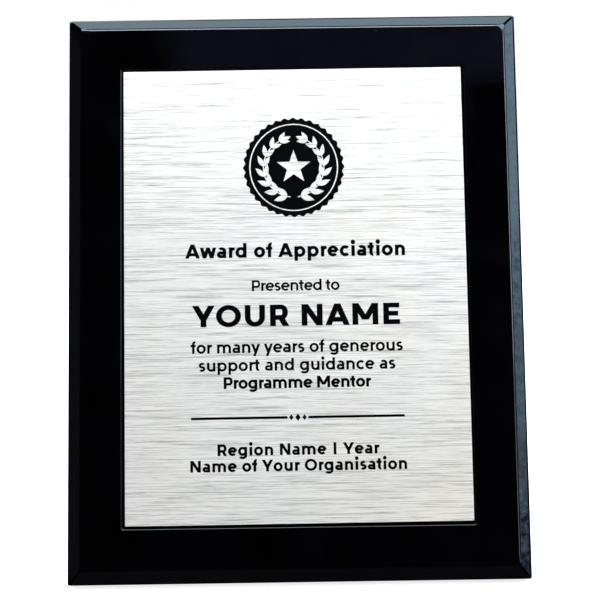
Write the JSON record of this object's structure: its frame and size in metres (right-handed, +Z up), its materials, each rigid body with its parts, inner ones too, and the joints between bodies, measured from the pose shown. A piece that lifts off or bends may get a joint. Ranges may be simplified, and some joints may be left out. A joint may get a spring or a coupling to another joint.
{
  "type": "wooden award plaque",
  "caption": "Black lacquered award plaque with bevelled edges and a recessed brushed aluminium plate, standing on a hinged back strut, with sawtooth hangers for wall use.",
  "frame": {"origin": "on the table, under the middle of the standing plaque's outer box", "axes": "+Z up, -Y towards the viewer of the plate, +X to the viewer's right"},
  "size_m": [0.2032, 0.0978, 0.2477],
  "materials": {
    "lacquered_board": "fibreboard under black high-gloss lacquer, polished, with eased edges",
    "plate_aluminium": "bright silver, fine brushing across the plate, satin",
    "plate_print": "black ink baked into the plate, semi-gloss",
    "mounting_tape": "thin double-sided foam tape",
    "back_felt": "thin black felt, glued flat",
    "strut_board": "hardboard with a black grained paper covering",
    "hinge_steel": "nickel-plated, satin, lightly handled",
    "hanger_brass": "brass-plated pressed strip",
    "bumper_rubber": "matt black rubber"
  },
  "bodies": {
    "plaque": {"board": "lacquered_board", "name_plate": "plate_aluminium", "plate_tape_1": "mounting_tape", "plate_tape_2": "mounting_tape", "plate_tape_3": "mounting_tape", "plate_tape_4": "mounting_tape", "back_liner": "back_felt", "bumper_bottom_left": "bumper_rubber", "bumper_bottom_right": "bumper_rubber", "bumper_top_left": "bumper_rubber", "bumper_top_right": "bumper_rubber", "hanger_portrait": "hanger_brass", "hanger_portrait_nail_a": "hanger_brass", "hanger_portrait_nail_b": "hanger_brass", "hanger_landscape": "hanger_brass", "hanger_landscape_nail_a": "hanger_brass", "hanger_landscape_nail_b": "hanger_brass", "hinge_board_leaf": "hinge_steel", "hinge_pin": "hinge_steel", "hinge_screw_left": "hinge_steel", "hinge_screw_right": "hinge_steel"},
    "strut": {"strut_panel": "strut_board", "hinge_strut_leaf": "hinge_steel", "strut_foot": "bumper_rubber", "strut_rivet_left": "hinge_steel", "strut_rivet_right": "hinge_steel"}
  },
  "joints": [
    {"name": "strut_fold", "type": "hinge", "parent": "plaque", "child": "strut", "pos_m": [0, 0.01345, 0.1726], "axis": [1, 0, 0], "range_deg": [-26, 0]}
  ]
}
